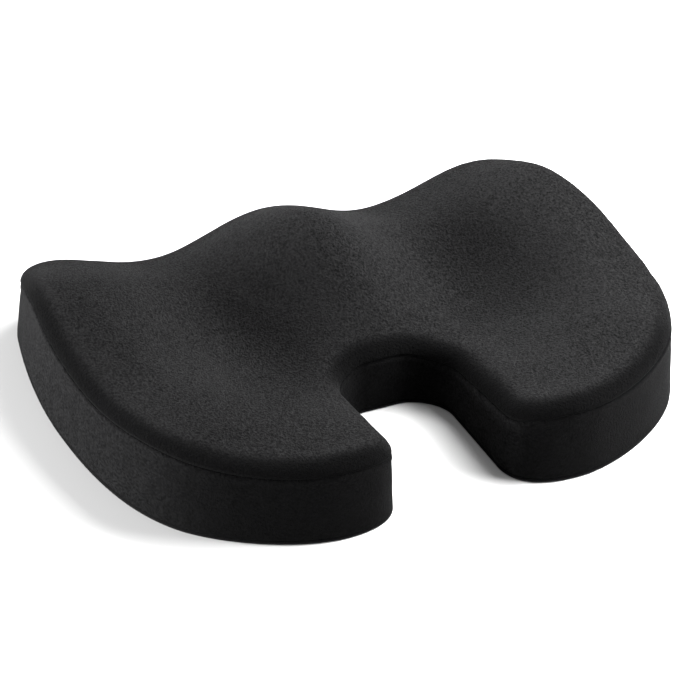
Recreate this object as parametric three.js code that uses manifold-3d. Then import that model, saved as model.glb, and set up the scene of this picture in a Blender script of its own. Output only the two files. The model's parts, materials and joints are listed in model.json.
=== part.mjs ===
// Contoured seat cushion with a tailbone cutout and a zip-off velour cover.
// Millimetres, +Z up, the cushion lies on Z = 0. The cutout opens to the rear, +Y, and the
// sitter's thighs leave over the front, -Y.

import * as THREE from 'three';
import { mergeVertices } from 'three/addons/utils/BufferGeometryUtils.js';
import Module from 'manifold-3d';

const wasm = await Module();
wasm.setup();

// ---------------------------------------------------------------- driving dimensions

// Plan of the covered cushion
const WIDTH = 450;
const DEPTH = 350;
const WIDEST_FROM_FRONT = 160;
const FRONT_CORNER_IN = 70;
const FRONT_CORNER_BACK = 35;
const FRONT_CORNER_TUCK = 19;
const SHOULDER_FROM_REAR = 59;
const SHOULDER_TUCK = 28;
const REAR_FLAT_X = 90;

// Tailbone cutout
const CUTOUT_WIDTH = 86;
const CUTOUT_DEPTH = 132;
const CUTOUT_CORNER = 30;
const MOUTH_CORNER = 34;

// Seat surface: heights above the base at equal steps from the front edge to the rear edge
const THIGH_FLOOR = [22, 40, 34, 39, 56, 66];
const RIDGE_RISE = [26, 41, 36, 14, -4, -14];
const RIM_RISE = [32, 33, 39, 30, 15, 0];
const RIDGE_SPREAD = 62;
const RIM_START = 50;
const RIM_END = 221;

// Rolled edge between the seat surface and the side band
const ROLL_WIDTH = 16;
const ROLL_DROP = 11.5;
const BAND_LEAN = 2.8;

// Cloth, thread and the clearance between layers
const COVER_CLOTH = 1.6;
const BASE_CLOTH = 2.0;
const LINER_CLOTH = 0.8;
const THREAD = 0.7;
const CLEARANCE = 0.3;

// Zip along the front edge
const ZIP_END_MARGIN = 12;
const COIL = 1.6;
const TAPE_CLOTH = 0.6;
const LOWER_TAPE = 2.0;
const UPPER_TAPE = 2.4;
const ZIP_LINE = 2;
const ZIP_DEPTH = 1.0;
const ZIP_RELIEF = 3.2;
const STOP_LENGTH = 3;

// Zip slider and pull tab
const SLIDER_LENGTH = 11;
const SLIDER_HEIGHT = 8;
const SLIDER_PLATE = 0.9;
const SLIDER_WEB = 0.4;
const CROWN_HALF = 3.2;
const CROWN_BAR = 0.8;
const CROWN_WIDTH = 2.0;
const PULL_THICKNESS = 1.0;
const PULL_PIN = 0.9;
const PULL_LENGTH = 21;
const PULL_WIDTH = 7;
const PULL_ARM = 1.3;

// Fineness of the mesh: steps round half the outline, and cells across the seat
const FRONT_STEPS = 5;
const CORNER_STEPS = 4;
const SIDE_STEPS = 4;
const LOBE_STEPS = 5;
const MOUTH_STEPS = 2;
const WALL_STEPS = 9;
const ROLL_STEPS = 4;
const CELLS_ACROSS = 7;

// ---------------------------------------------------------------- heights that follow

const front = -DEPTH / 2;
const rear = DEPTH / 2;
const halfWidth = WIDTH / 2;
const halfCutout = CUTOUT_WIDTH / 2;
const cutoutEnd = rear - CUTOUT_DEPTH;
const frontFlat = halfWidth - FRONT_CORNER_IN;

const seamGap = THREAD + 2 * CLEARANCE;
const bandBottom = BASE_CLOTH + seamGap;
const linerBottom = BASE_CLOTH + CLEARANCE;
const foamBottom = linerBottom + LINER_CLOTH + CLEARANCE;
const linerInset = COVER_CLOTH + CLEARANCE;
const foamInset = linerInset + LINER_CLOTH + CLEARANCE;

const coilGap = SLIDER_WEB + 2 * CLEARANCE;
const lowerTapeTop = bandBottom + LOWER_TAPE;
const lowerCoilZ = lowerTapeTop + CLEARANCE + COIL / 2;
const chainZ = lowerCoilZ + COIL / 2 + coilGap / 2;
const upperCoilZ = chainZ + coilGap / 2 + COIL / 2;
const upperTapeBottom = upperCoilZ + COIL / 2 + CLEARANCE;
const notchTop = upperTapeBottom + UPPER_TAPE + CLEARANCE;
const zipHalf = frontFlat - ZIP_END_MARGIN;
const zipY = front + ZIP_DEPTH;

const frontPlateY = zipY - COIL / 2 - CLEARANCE - SLIDER_PLATE;
const backPlateY = zipY + COIL / 2 + CLEARANCE;
const crownInside = 2 * CLEARANCE + PULL_THICKNESS;
const pinY = frontPlateY - crownInside / 2;
const zipProud = front - (frontPlateY - crownInside - CROWN_BAR);

const coilHalf = zipHalf - CLEARANCE - STOP_LENGTH - CLEARANCE;
const sliderRest = coilHalf - SLIDER_LENGTH / 2;

// ---------------------------------------------------------------- materials

const finish = (color, roughness, metalness = 0) =>
  new THREE.MeshStandardMaterial({ color, roughness, metalness });

const velour = () => finish(0x1d1d1e, 0.95);
const gripCloth = () => finish(0x161617, 0.85);
const linerKnit = () => finish(0xd9d8d2, 0.9);
const foam = () => finish(0xe6dfcb, 0.85);
const thread = () => finish(0x121213, 0.7);
const zipNylon = () => finish(0x141415, 0.55);
const zipMetal = () => finish(0x2a2a2c, 0.35, 0.9);

// ---------------------------------------------------------------- meshes from points

// A closed geometry from [x, y, z] points and triangles that index them.
function meshOf(points, triangles) {
  const geometry = new THREE.BufferGeometry();
  geometry.setAttribute('position', new THREE.Float32BufferAttribute(points.flat(), 3));
  geometry.setIndex(triangles.flat());
  return geometry;
}

// Triangles of the strip between two closed rings of equal length, facing out when the lower
// ring runs anticlockwise seen from above.
function bridge(lower, upper) {
  return lower.flatMap((a, i) => {
    const next = (i + 1) % lower.length;
    return [[a, lower[next], upper[next]], [a, upper[next], upper[i]]];
  });
}

function toSolid(geometry) {
  const bare = geometry.clone();
  bare.deleteAttribute('normal');
  bare.deleteAttribute('uv');
  const merged = mergeVertices(bare, 1e-4);
  return new wasm.Manifold(new wasm.Mesh({
    numProp: 3,
    vertProperties: merged.attributes.position.array,
    triVerts: new Uint32Array(merged.index.array),
  }));
}

function fromSolid(solid) {
  const { vertProperties, triVerts, numProp } = solid.getMesh();
  const interleaved = new THREE.InterleavedBuffer(vertProperties, numProp);
  const geometry = new THREE.BufferGeometry();
  geometry.setAttribute('position', new THREE.InterleavedBufferAttribute(interleaved, 3, 0));
  geometry.setIndex(new THREE.BufferAttribute(triVerts, 1));
  return mergeVertices(geometry.toNonIndexed(), 1e-5);
}

const join = (...geometries) =>
  fromSolid(geometries.map(toSolid).reduce((whole, piece) => whole.add(piece)));

const cut = (geometry, tool) => fromSolid(toSolid(geometry).subtract(toSolid(tool)));

// A box from its lowest and highest corners.
function boxBetween(low, high) {
  const size = high.map((value, axis) => value - low[axis]);
  const middle = high.map((value, axis) => (value + low[axis]) / 2);
  return new THREE.BoxGeometry(...size).translate(...middle);
}

// ---------------------------------------------------------------- plan outline

const at = (x, y) => new THREE.Vector2(x, y);

// How far a bezier handle reaches along a side of a quarter round
const ROUND = 0.5523;

// A quarter round from one point to another, leaving along one side of the corner between them.
function corner(from, tip, to, fullness = ROUND) {
  return new THREE.CubicBezierCurve(
    from, from.clone().lerp(tip, fullness), to.clone().lerp(tip, fullness), to);
}

// The +X half of the outline, from the middle of the front edge round to the cutout's end.
function halfOutline() {
  const cornerEnd = at(halfWidth - FRONT_CORNER_TUCK, front + FRONT_CORNER_BACK);
  const widest = at(halfWidth, front + WIDEST_FROM_FRONT);
  const shoulder = at(halfWidth - SHOULDER_TUCK, rear - SHOULDER_FROM_REAR);
  const wallEnd = at(halfCutout, rear - MOUTH_CORNER);
  const wallStart = at(halfCutout, cutoutEnd + CUTOUT_CORNER);
  const sideReach = (widest.y - cornerEnd.y) / 3;
  const shoulderReach = (shoulder.y - widest.y) / 3;
  const lobeReach = (shoulder.x - REAR_FLAT_X) / 3;
  const curves = [
    [new THREE.LineCurve(at(0, front), at(frontFlat, front)), FRONT_STEPS],
    [new THREE.CubicBezierCurve(
      at(frontFlat, front), at(frontFlat + 0.5 * FRONT_CORNER_IN, front),
      cornerEnd.clone().add(at(-0.28, -1).multiplyScalar(FRONT_CORNER_BACK * 0.6)),
      cornerEnd), CORNER_STEPS],
    [new THREE.CubicBezierCurve(
      cornerEnd, cornerEnd.clone().add(at(0.28, 1).multiplyScalar(sideReach)),
      widest.clone().add(at(0, -sideReach)), widest), SIDE_STEPS],
    [new THREE.CubicBezierCurve(
      widest, widest.clone().add(at(0, shoulderReach)),
      shoulder.clone().add(at(0.56, -0.83).multiplyScalar(shoulderReach)),
      shoulder), SIDE_STEPS],
    [new THREE.CubicBezierCurve(
      shoulder, shoulder.clone().add(at(-0.56, 0.83).multiplyScalar(lobeReach)),
      at(REAR_FLAT_X + lobeReach, rear), at(REAR_FLAT_X, rear)), LOBE_STEPS],
    [corner(at(REAR_FLAT_X, rear), at(halfCutout, rear), wallEnd, 0.64), 2 * MOUTH_STEPS],
    [new THREE.LineCurve(wallEnd, wallStart), WALL_STEPS],
  ];
  const points = curves.flatMap(([curve, steps]) => curve.getSpacedPoints(steps).slice(0, -1));
  // The cutout's end takes the steps that make its side as many as the outer side.
  const mouth = FRONT_STEPS + CORNER_STEPS + 2 * SIDE_STEPS + LOBE_STEPS + MOUTH_STEPS;
  const endSteps = 2 * mouth - points.length;
  const end = new THREE.CurvePath();
  end.add(corner(wallStart, at(halfCutout, cutoutEnd), at(halfCutout - CUTOUT_CORNER, cutoutEnd)));
  end.add(new THREE.LineCurve(at(halfCutout - CUTOUT_CORNER, cutoutEnd), at(0, cutoutEnd)));
  return [...points, ...end.getSpacedPoints(endSteps)];
}

const half = halfOutline();
const mirrored = half.slice(1, -1).reverse().map((p) => at(-p.x, p.y));
const outline = [...half, ...mirrored];
const count = outline.length;
const cutoutIndex = half.length - 1;
const mouthIndex = cutoutIndex / 2;

const inward = outline.map((_, i) => {
  const along = outline[(i + 1) % count].clone().sub(outline[(i + count - 1) % count]);
  return at(-along.y, along.x).normalize();
});

const insetOutline = (inset) =>
  outline.map((p, i) => p.clone().addScaledVector(inward[i], inset));

// ---------------------------------------------------------------- seat surface

// A smooth height through equally spaced stations, at a share of the way along them.
function along(stations, share) {
  const curve = new THREE.SplineCurve(stations.map((height, i) => at(i, height)));
  return curve.getPoint(THREE.MathUtils.clamp(share, 0, 1)).y;
}

function seatHeight(x, y) {
  const share = (y - front) / DEPTH;
  const ridge = Math.exp(-((x / RIDGE_SPREAD) ** 2));
  const rim = THREE.MathUtils.smoothstep(Math.abs(x), RIM_START, RIM_END);
  return along(THIGH_FLOOR, share) + along(RIDGE_RISE, share) * ridge
    + along(RIM_RISE, share) * rim;
}

// ---------------------------------------------------------------- the cushion's skin

// Rows of the skin from the base up: base, zip line, seam, then the rolled edge to the seat.
const BASE_ROW = 0;
const ZIP_ROW = 1;
const SEAM_ROW = 2;
const SEAT_ROW = SEAM_ROW + ROLL_STEPS;
const zipRowZ = notchTop + ZIP_LINE;

const seamZ = insetOutline(BAND_LEAN).map((p) => seatHeight(p.x, p.y) - ROLL_DROP);

function rowPoints(row) {
  if (row === BASE_ROW) return outline.map((p) => new THREE.Vector3(p.x, p.y, 0));
  const rise = (row - SEAM_ROW) / ROLL_STEPS * Math.PI / 2;
  const inset = BAND_LEAN + (row > SEAM_ROW ? ROLL_WIDTH * (1 - Math.cos(rise)) : 0);
  const drop = ROLL_DROP * (1 - Math.sin(rise));
  return outline.map((p, i) => {
    const share = row === ZIP_ROW ? zipRowZ / seamZ[i] : 1;
    const q = p.clone().addScaledVector(inward[i], inset * share);
    const z = row === ZIP_ROW ? zipRowZ : row === SEAM_ROW ? seamZ[i] : seatHeight(q.x, q.y) - drop;
    return new THREE.Vector3(q.x, q.y, z);
  });
}

// The whole outer skin: its points, the index rings of its rows, and the seat's own triangles.
function buildSkin() {
  const points = [];
  const rows = [];
  for (let row = BASE_ROW; row <= SEAT_ROW; row += 1) {
    rows.push(rowPoints(row).map((p) => points.push(p) - 1));
  }
  const edge = rows[SEAT_ROW];
  // The seat is a bent strip: lines cross it from the outer edge to the cutout's edge.
  const lines = [];
  for (let j = -mouthIndex; j <= mouthIndex; j += 1) {
    const outer = edge[(j + count) % count];
    const inner = edge[cutoutIndex - j];
    const line = [outer];
    if (outer !== inner) {
      for (let k = 1; k < CELLS_ACROSS; k += 1) {
        const p = points[outer].clone().lerp(points[inner], k / CELLS_ACROSS);
        p.z = seatHeight(p.x, p.y);
        line.push(points.push(p) - 1);
      }
      line.push(inner);
    }
    lines.push(line);
  }
  const seat = [];
  for (let j = 1; j < lines.length; j += 1) {
    const [a, b] = [lines[j - 1], lines[j]];
    for (let k = 0; k < CELLS_ACROSS; k += 1) {
      if (b.length === 1) seat.push([a[k], b[0], a[k + 1]]);
      else if (a.length === 1) seat.push([a[0], b[k], b[k + 1]]);
      else seat.push([a[k], b[k], b[k + 1]], [a[k], b[k + 1], a[k + 1]]);
    }
  }
  return { points, rows, seat };
}

const skin = buildSkin();

// Outward normals of the skin, level along its base so that layers stand square on it.
function skinNormals() {
  const triangles = [...skin.seat];
  for (let row = BASE_ROW; row < SEAT_ROW; row += 1) {
    triangles.push(...bridge(skin.rows[row], skin.rows[row + 1]));
  }
  const whole = meshOf(skin.points.map((p) => p.toArray()), triangles);
  whole.computeVertexNormals();
  const normals = skin.points.map((_, i) =>
    new THREE.Vector3().fromBufferAttribute(whole.attributes.normal, i));
  for (const i of [...skin.rows[BASE_ROW], ...skin.rows[ZIP_ROW]]) {
    normals[i].setZ(0).normalize();
  }
  return normals;
}

const normals = skinNormals();

// How far the inner layers step back behind the zip.
function zipRelief(point) {
  if (point.y > front + ZIP_RELIEF || point.z > zipRowZ) return 0;
  return ZIP_RELIEF * (1 - THREE.MathUtils.smoothstep(Math.abs(point.x), zipHalf + 4, frontFlat));
}

// The skin's points moved in by an inset, with its base and seam rows at chosen heights.
function layer(inset, { baseZ = 0, seamShift = 0, relieved = false } = {}) {
  const base = new Set(skin.rows[BASE_ROW]);
  const seam = new Set(skin.rows[SEAM_ROW]);
  return skin.points.map((p, i) => {
    const depth = inset + (relieved ? zipRelief(p) : 0);
    const q = p.clone().addScaledVector(normals[i], -depth);
    if (base.has(i)) q.z = baseZ;
    if (seam.has(i)) q.z += seamShift;
    return q.toArray();
  });
}

// A sheet of cloth between two layers, over the rows given and, if it covers it, the seat.
function sheet(outer, inner, firstRow, lastRow, withSeat) {
  const step = outer.length;
  const inside = (triangle) => triangle.map((i) => i + step).reverse();
  const face = withSeat ? [...skin.seat] : [];
  for (let row = firstRow; row < lastRow; row += 1) {
    face.push(...bridge(skin.rows[row], skin.rows[row + 1]));
  }
  const first = skin.rows[firstRow];
  const last = skin.rows[lastRow];
  const triangles = [...face, ...face.map(inside), ...bridge(first.map((i) => i + step), first)];
  if (!withSeat) triangles.push(...bridge(last, last.map((i) => i + step)));
  return packed([...outer, ...inner], triangles);
}

// Leaves out the points that no triangle uses.
function packed(points, triangles) {
  const used = [...new Set(triangles.flat())];
  const place = new Map(used.map((old, fresh) => [old, fresh]));
  return meshOf(used.map((i) => points[i]), triangles.map((t) => t.map((i) => place.get(i))));
}

// A flat plate with the cushion's outline, less an inset.
function plate(inset, low, high) {
  return new THREE.ExtrudeGeometry(new THREE.Shape(insetOutline(inset)), {
    depth: high - low, bevelEnabled: false,
  }).translate(0, 0, low);
}

// A closed loop of thread through the points given, with a six-sided section.
function threadLoop(points) {
  const SIDES = 6;
  const corners = Array.from({ length: SIDES }, (_, s) => (s + 0.5) / SIDES * 2 * Math.PI);
  const rings = corners.map((angle, s) => points.map((_, i) => s * count + i));
  const vertices = corners.flatMap((angle) => points.map((p, i) => [
    p.x + inward[i].x * Math.cos(angle) * THREAD / 2,
    p.y + inward[i].y * Math.cos(angle) * THREAD / 2,
    p.z + Math.sin(angle) * THREAD / 2,
  ]));
  const triangles = rings.flatMap((ring, s) => bridge(rings[(s + 1) % SIDES], ring));
  return meshOf(vertices, triangles);
}

// ---------------------------------------------------------------- pad and cover

function foamCore() {
  const points = layer(foamInset, { baseZ: foamBottom, relieved: true });
  const base = skin.rows[BASE_ROW];
  const contour = base.map((i) => at(points[i][0], points[i][1]));
  const floor = THREE.ShapeUtils.triangulateShape(contour, [])
    .map(([a, b, c]) => [base[a], base[c], base[b]]);
  const triangles = [...skin.seat, ...floor];
  for (let row = BASE_ROW; row < SEAT_ROW; row += 1) {
    triangles.push(...bridge(skin.rows[row], skin.rows[row + 1]));
  }
  return packed(points, triangles);
}

const linerTop = () => sheet(
  layer(linerInset, { baseZ: foamBottom, relieved: true }),
  layer(linerInset + LINER_CLOTH, { baseZ: foamBottom, relieved: true }),
  BASE_ROW, SEAT_ROW, true);

const linerBase = () => plate(linerInset, linerBottom, linerBottom + LINER_CLOTH);

const topPanel = () => sheet(
  layer(0, { seamShift: seamGap / 2 }), layer(COVER_CLOTH, { seamShift: seamGap / 2 }),
  SEAM_ROW, SEAT_ROW, true);

// The boxing strip, notched along the front edge for the zip.
function sideBand() {
  const strip = sheet(
    layer(0, { baseZ: bandBottom, seamShift: -seamGap / 2 }),
    layer(COVER_CLOTH, { baseZ: bandBottom, seamShift: -seamGap / 2 }),
    BASE_ROW, SEAM_ROW, false);
  const reach = zipHalf + CLEARANCE;
  return cut(strip, boxBetween(
    [-reach, front - COVER_CLOTH, 0], [reach, front + 4 * COVER_CLOTH, notchTop]));
}

const bottomPanel = () => plate(0, 0, BASE_CLOTH);

const seamLoop = (inset, height) =>
  insetOutline(inset + COVER_CLOTH / 2).map((p, i) => new THREE.Vector3(p.x, p.y, height(i)));

const topThread = () => threadLoop(seamLoop(BAND_LEAN, (i) => seamZ[i]));
const bottomThread = () => threadLoop(seamLoop(0, () => BASE_CLOTH + seamGap / 2));

// ---------------------------------------------------------------- zip

const tape = (low, high) => boxBetween(
  [-zipHalf, zipY - TAPE_CLOTH / 2, low], [zipHalf, zipY + TAPE_CLOTH / 2, high]);

const coil = (z) => new THREE.CylinderGeometry(COIL / 2, COIL / 2, 2 * coilHalf, 10)
  .rotateZ(Math.PI / 2).translate(0, zipY, z);

function endStop(side) {
  const middle = side * (zipHalf - CLEARANCE - STOP_LENGTH / 2);
  return boxBetween(
    [middle - STOP_LENGTH / 2, zipY - COIL / 2, lowerCoilZ - COIL / 2],
    [middle + STOP_LENGTH / 2, zipY + COIL / 2, upperCoilZ + COIL / 2]);
}

// An outline drawn in X and Z, given a thickness along Y from its front face back.
const standing = (shape, y, thickness) =>
  new THREE.ExtrudeGeometry(shape, { depth: thickness, bevelEnabled: false, curveSegments: 4 })
    .rotateX(Math.PI / 2).translate(0, y + thickness, 0);

// The slider's two plates, joined by a web between the coils, and the crown over the pull's pin.
function slider() {
  const [a, b] = [SLIDER_LENGTH / 2, SLIDER_HEIGHT / 2];
  const nose = new THREE.Shape([
    at(-a, -b + 1), at(-a + 1, -b), at(a - 3, -b), at(a, -b + 2),
    at(a, b - 2), at(a - 3, b), at(-a + 1, b), at(-a, b - 1)]);
  const [outer, inner] = [CROWN_HALF, CROWN_HALF - CROWN_BAR];
  const rise = crownInside + CROWN_BAR;
  const arch = new THREE.Shape([
    at(-outer, 0.2), at(-outer, -rise + 0.6), at(-outer + 0.6, -rise), at(outer - 0.6, -rise),
    at(outer, -rise + 0.6), at(outer, 0.2), at(inner, 0.2), at(inner, -crownInside),
    at(-inner, -crownInside), at(-inner, 0.2)]);
  const crown = new THREE.ExtrudeGeometry(arch, { depth: CROWN_WIDTH, bevelEnabled: false })
    .translate(0, frontPlateY, -CROWN_WIDTH / 2);
  const web = boxBetween(
    [-2, frontPlateY + 0.1, -SLIDER_WEB / 2], [a - 2, backPlateY + 0.1, SLIDER_WEB / 2]);
  return join(standing(nose, frontPlateY, SLIDER_PLATE), web,
    standing(nose, backPlateY, SLIDER_PLATE), crown);
}

// The pull tab, lying back over the closed chain, with its pin under the slider's crown.
function pullTab() {
  const arm = CROWN_WIDTH / 2 + CLEARANCE;
  const eye = arm + PULL_ARM;
  const [pin, tip, grip] = [PULL_PIN / 2, -PULL_LENGTH, PULL_WIDTH / 2];
  const windowEnd = -CROWN_HALF - 1;
  const shape = new THREE.Shape()
    .moveTo(pin, -eye).lineTo(pin, eye).lineTo(windowEnd, eye)
    .lineTo(windowEnd - 2, grip).lineTo(tip + 2, grip)
    .absarc(tip + 2, grip - 2, 2, Math.PI / 2, Math.PI)
    .absarc(tip + 2, -grip + 2, 2, Math.PI, 1.5 * Math.PI)
    .lineTo(windowEnd - 2, -grip).lineTo(windowEnd, -eye);
  shape.holes.push(new THREE.Path([
    at(-pin, -arm), at(windowEnd, -arm), at(windowEnd, arm), at(-pin, arm)]));
  return standing(shape, -PULL_THICKNESS / 2, PULL_THICKNESS);
}

// ---------------------------------------------------------------- assembly

// The origin lies under the middle of the whole object, so the cushion sits back by half of
// what the zip's slider stands proud of the front edge.
const cushion = new THREE.Group();
cushion.position.y = zipProud / 2;

function add(name, geometry, material, place = [0, 0, 0]) {
  const mesh = new THREE.Mesh(geometry, material);
  mesh.name = name;
  mesh.position.set(...place);
  cushion.add(mesh);
}

add('foam_core', foamCore(), foam());
add('liner_top', linerTop(), linerKnit());
add('liner_base', linerBase(), linerKnit());
add('top_panel', topPanel(), velour());
add('side_band', sideBand(), velour());
add('bottom_panel', bottomPanel(), gripCloth());
add('top_seam_thread', topThread(), thread());
add('bottom_seam_thread', bottomThread(), thread());
add('zip_tape_lower', tape(bandBottom, lowerTapeTop), zipNylon());
add('zip_tape_upper', tape(upperTapeBottom, upperTapeBottom + UPPER_TAPE), zipNylon());
add('zip_coil_lower', coil(lowerCoilZ), zipNylon());
add('zip_coil_upper', coil(upperCoilZ), zipNylon());
add('zip_stop_closed', endStop(1), zipMetal());
add('zip_stop_open', endStop(-1), zipMetal());
add('zip_slider', slider(), zipMetal(), [sliderRest, 0, chainZ]);
add('zip_pull', pullTab(), zipMetal(), [sliderRest, pinY, chainZ]);

const part = new THREE.Group();
part.add(cushion);
export default part;
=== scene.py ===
# %% [markdown]
# # A contoured seat cushion with a tailbone cutout
# The real cushion is one block of moulded slow-recovery foam in a thin liner, with a velour
# cover zipped round it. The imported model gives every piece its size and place. This file makes
# how the pieces look: smooth cloth over foam, sewn seams, nap, and the small zip at the front.

import json
import math

import bpy
import numpy as np
from mathutils import Matrix, Vector, kdtree, noise

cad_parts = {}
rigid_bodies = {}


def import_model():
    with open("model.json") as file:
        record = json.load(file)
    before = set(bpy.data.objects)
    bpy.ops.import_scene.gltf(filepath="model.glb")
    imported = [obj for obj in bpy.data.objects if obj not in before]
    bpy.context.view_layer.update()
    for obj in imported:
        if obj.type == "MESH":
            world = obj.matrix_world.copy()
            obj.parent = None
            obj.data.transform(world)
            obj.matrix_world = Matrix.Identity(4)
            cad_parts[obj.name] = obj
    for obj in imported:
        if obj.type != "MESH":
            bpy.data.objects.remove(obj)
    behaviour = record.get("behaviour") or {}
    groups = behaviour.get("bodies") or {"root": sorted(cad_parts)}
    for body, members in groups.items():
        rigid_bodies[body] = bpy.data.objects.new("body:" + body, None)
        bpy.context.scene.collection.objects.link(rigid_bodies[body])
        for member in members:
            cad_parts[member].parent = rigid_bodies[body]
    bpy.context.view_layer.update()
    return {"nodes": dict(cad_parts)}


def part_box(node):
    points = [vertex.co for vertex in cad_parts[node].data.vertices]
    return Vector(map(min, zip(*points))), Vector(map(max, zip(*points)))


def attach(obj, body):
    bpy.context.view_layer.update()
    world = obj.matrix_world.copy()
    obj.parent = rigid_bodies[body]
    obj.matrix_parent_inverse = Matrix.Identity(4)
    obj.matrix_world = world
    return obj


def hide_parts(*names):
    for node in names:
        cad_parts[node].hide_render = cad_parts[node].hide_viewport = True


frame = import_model()
MM = 0.001

# %% [markdown]
# ## The plan outline
# The cover is cut from one plan shape: a nearly straight front edge, round sides, two lobes and
# a parallel-sided cutout between them. It could be traced as a hundred points, but a few long
# bezier curves stay smooth at any fineness and say what the shape is. Its overall size comes
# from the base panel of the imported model, and the rest are the pattern's own measures, in mm.

# %% Measures of the pattern
base_low, base_high = (np.array(corner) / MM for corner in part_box("bottom_panel"))
FRONT, REAR, SIDE = base_low[1], base_high[1], base_high[0]
DEPTH = REAR - FRONT
WIDEST = FRONT + 160
FRONT_FLAT = SIDE - 70
SHOULDER = (SIDE - 28, REAR - 59)
CORNER_END = (SIDE - 19, FRONT + 35)
REAR_FLAT = 90
SHOULDER_RUN, SHOULDER_CLIMB = 0.56, 0.83
CUTOUT_HALF, CUTOUT_END, CUTOUT_CORNER, CUTOUT_FLAT = 43, REAR - 132, 30, 13
MOUTH = REAR - 34
OUTER_SLOWING = 0.17


def bezier(start, reach_out, reach_in, end, steps=60):
    """Points of a cubic curve, without its last one."""
    a, b, c, d = (np.array(p, float) for p in (start, reach_out, reach_in, end))
    t = np.linspace(0, 1, steps, endpoint=False)[:, None]
    return (1 - t) ** 3 * a + 3 * (1 - t) ** 2 * t * b + 3 * (1 - t) * t * t * c + t ** 3 * d


def straight(start, end, steps=30):
    return bezier(start, start, end, end, steps)


def spaced(path, steps, slow=0.0):
    """The path again in equal steps, or in steps that shorten towards its end."""
    reach = np.concatenate([[0], np.cumsum(np.linalg.norm(np.diff(path, axis=0), axis=1))])
    share = np.linspace(0, 1, steps + 1)
    at = reach[-1] * ((1 + slow) * share - slow * share ** 5)
    return np.stack([np.interp(at, reach, path[:, k]) for k in (0, 1)], 1)


# %% Draw half of the outline
def half_outline(steps):
    """The +X half, front middle to cutout end, with as many steps outside as in the cutout."""
    side = (WIDEST - CORNER_END[1]) / 3
    rise = (SHOULDER[1] - WIDEST) / 3
    lobe = (SHOULDER[0] - REAR_FLAT) / 3
    wall_end, wall_start = (CUTOUT_HALF, MOUTH), (CUTOUT_HALF, CUTOUT_END + CUTOUT_CORNER)
    mouth = bezier((REAR_FLAT, REAR), (REAR_FLAT - 30, REAR), (CUTOUT_HALF, MOUTH + 22), wall_end)
    outer = np.concatenate([
        straight((0, FRONT), (FRONT_FLAT, FRONT)),
        bezier((FRONT_FLAT, FRONT), (FRONT_FLAT + 35, FRONT),
               (CORNER_END[0] - 5.9, CORNER_END[1] - 21), CORNER_END),
        bezier(CORNER_END, (CORNER_END[0] + 0.28 * side, CORNER_END[1] + side),
               (SIDE, WIDEST - side), (SIDE, WIDEST)),
        bezier((SIDE, WIDEST), (SIDE, WIDEST + rise),
               (SHOULDER[0] + SHOULDER_RUN * rise, SHOULDER[1] - SHOULDER_CLIMB * rise), SHOULDER),
        bezier(SHOULDER, (SHOULDER[0] - SHOULDER_RUN * lobe, SHOULDER[1] + SHOULDER_CLIMB * lobe),
               (REAR_FLAT + lobe, REAR), (REAR_FLAT, REAR)),
        mouth[: len(mouth) // 2 + 1]])
    inner = np.concatenate([
        mouth[len(mouth) // 2:], straight(wall_end, wall_start),
        bezier(wall_start, (CUTOUT_HALF, CUTOUT_END + 13.4), (CUTOUT_FLAT + 13.4, CUTOUT_END),
               (CUTOUT_FLAT, CUTOUT_END)),
        straight((CUTOUT_FLAT, CUTOUT_END), (0, CUTOUT_END)), [(0, CUTOUT_END)]])
    return np.concatenate([spaced(outer, steps, OUTER_SLOWING), spaced(inner, steps)[1:]])


def whole_outline(steps):
    """The closed outline, anticlockwise from the front middle, and its inward directions."""
    half = half_outline(steps)
    loop = np.concatenate([half, (half[1:-1] * (-1, 1))[::-1]])
    along = np.roll(loop, -1, 0) - np.roll(loop, 1, 0)
    inward = np.stack([-along[:, 1], along[:, 0]], 1)
    return loop, inward / np.linalg.norm(inward, axis=1)[:, None]


loop, _ = whole_outline(100)
length = np.linalg.norm(np.roll(loop, -1, 0) - loop, axis=1).sum()
print("outline", round(length), "mm round, plan", np.ptp(loop, axis=0).round(1))

# %% [markdown]
# ## The seat surface
# The foam is moulded with a channel for each thigh, a ridge between them, raised outer rims and
# a level seat towards the rear. The heights along the cushion are six stations each for the
# floor of the channels, the rise of the ridge and the rise of the rims. A cubic spline through
# them has no kinks in its curvature, which matters because velour shows every kink as a band.
# Use has settled the front corners a little, and the cover stands plump over the rear lobes.

# %% Heights of the seat
THIGH_FLOOR = [22, 40, 34, 39, 56, 66]
RIDGE_RISE = [26, 41, 36, 14, -4, -14]
RIM_RISE = [32, 33, 39, 30, 15, 0]
RIDGE_SPREAD, RIM_START, RIM_END = 62, 50, 221
ROLL_WIDTH, ROLL_DROP, BAND_LEAN = 16, 11.5, 2.8


def spline(stations, share):
    """A cubic spline through equally spaced heights, at shares of the way along them."""
    heights = np.array(stations, float)
    last = len(heights) - 1
    system = np.diag(np.full(last + 1, 4.0)) + np.diag(np.ones(last), 1) + np.diag(np.ones(last), -1)
    slopes = 3 * (np.roll(heights, -1) - np.roll(heights, 1))
    system[0], system[-1] = np.eye(last + 1)[0], np.eye(last + 1)[-1]
    slopes[0], slopes[-1] = (heights[1] - heights[0]) / 2, (heights[-1] - heights[-2]) / 2
    slopes = np.linalg.solve(system, slopes)
    x = np.clip(share, 0, 1) * last
    i = np.minimum(x.astype(int), last - 1)
    t = x - i
    return ((2 * t ** 3 - 3 * t ** 2 + 1) * heights[i] + (t ** 3 - 2 * t ** 2 + t) * slopes[i]
            + (3 * t ** 2 - 2 * t ** 3) * heights[i + 1] + (t ** 3 - t ** 2) * slopes[i + 1])


def smooth(value, start, end):
    """0 before start, 1 after end, and level at both."""
    t = np.clip((value - start) / (end - start), 0, 1)
    return t * t * t * (t * (6 * t - 15) + 10)


SETTLED_CORNER, PLUMP_LOBE = 3.2, 3.0


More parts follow.
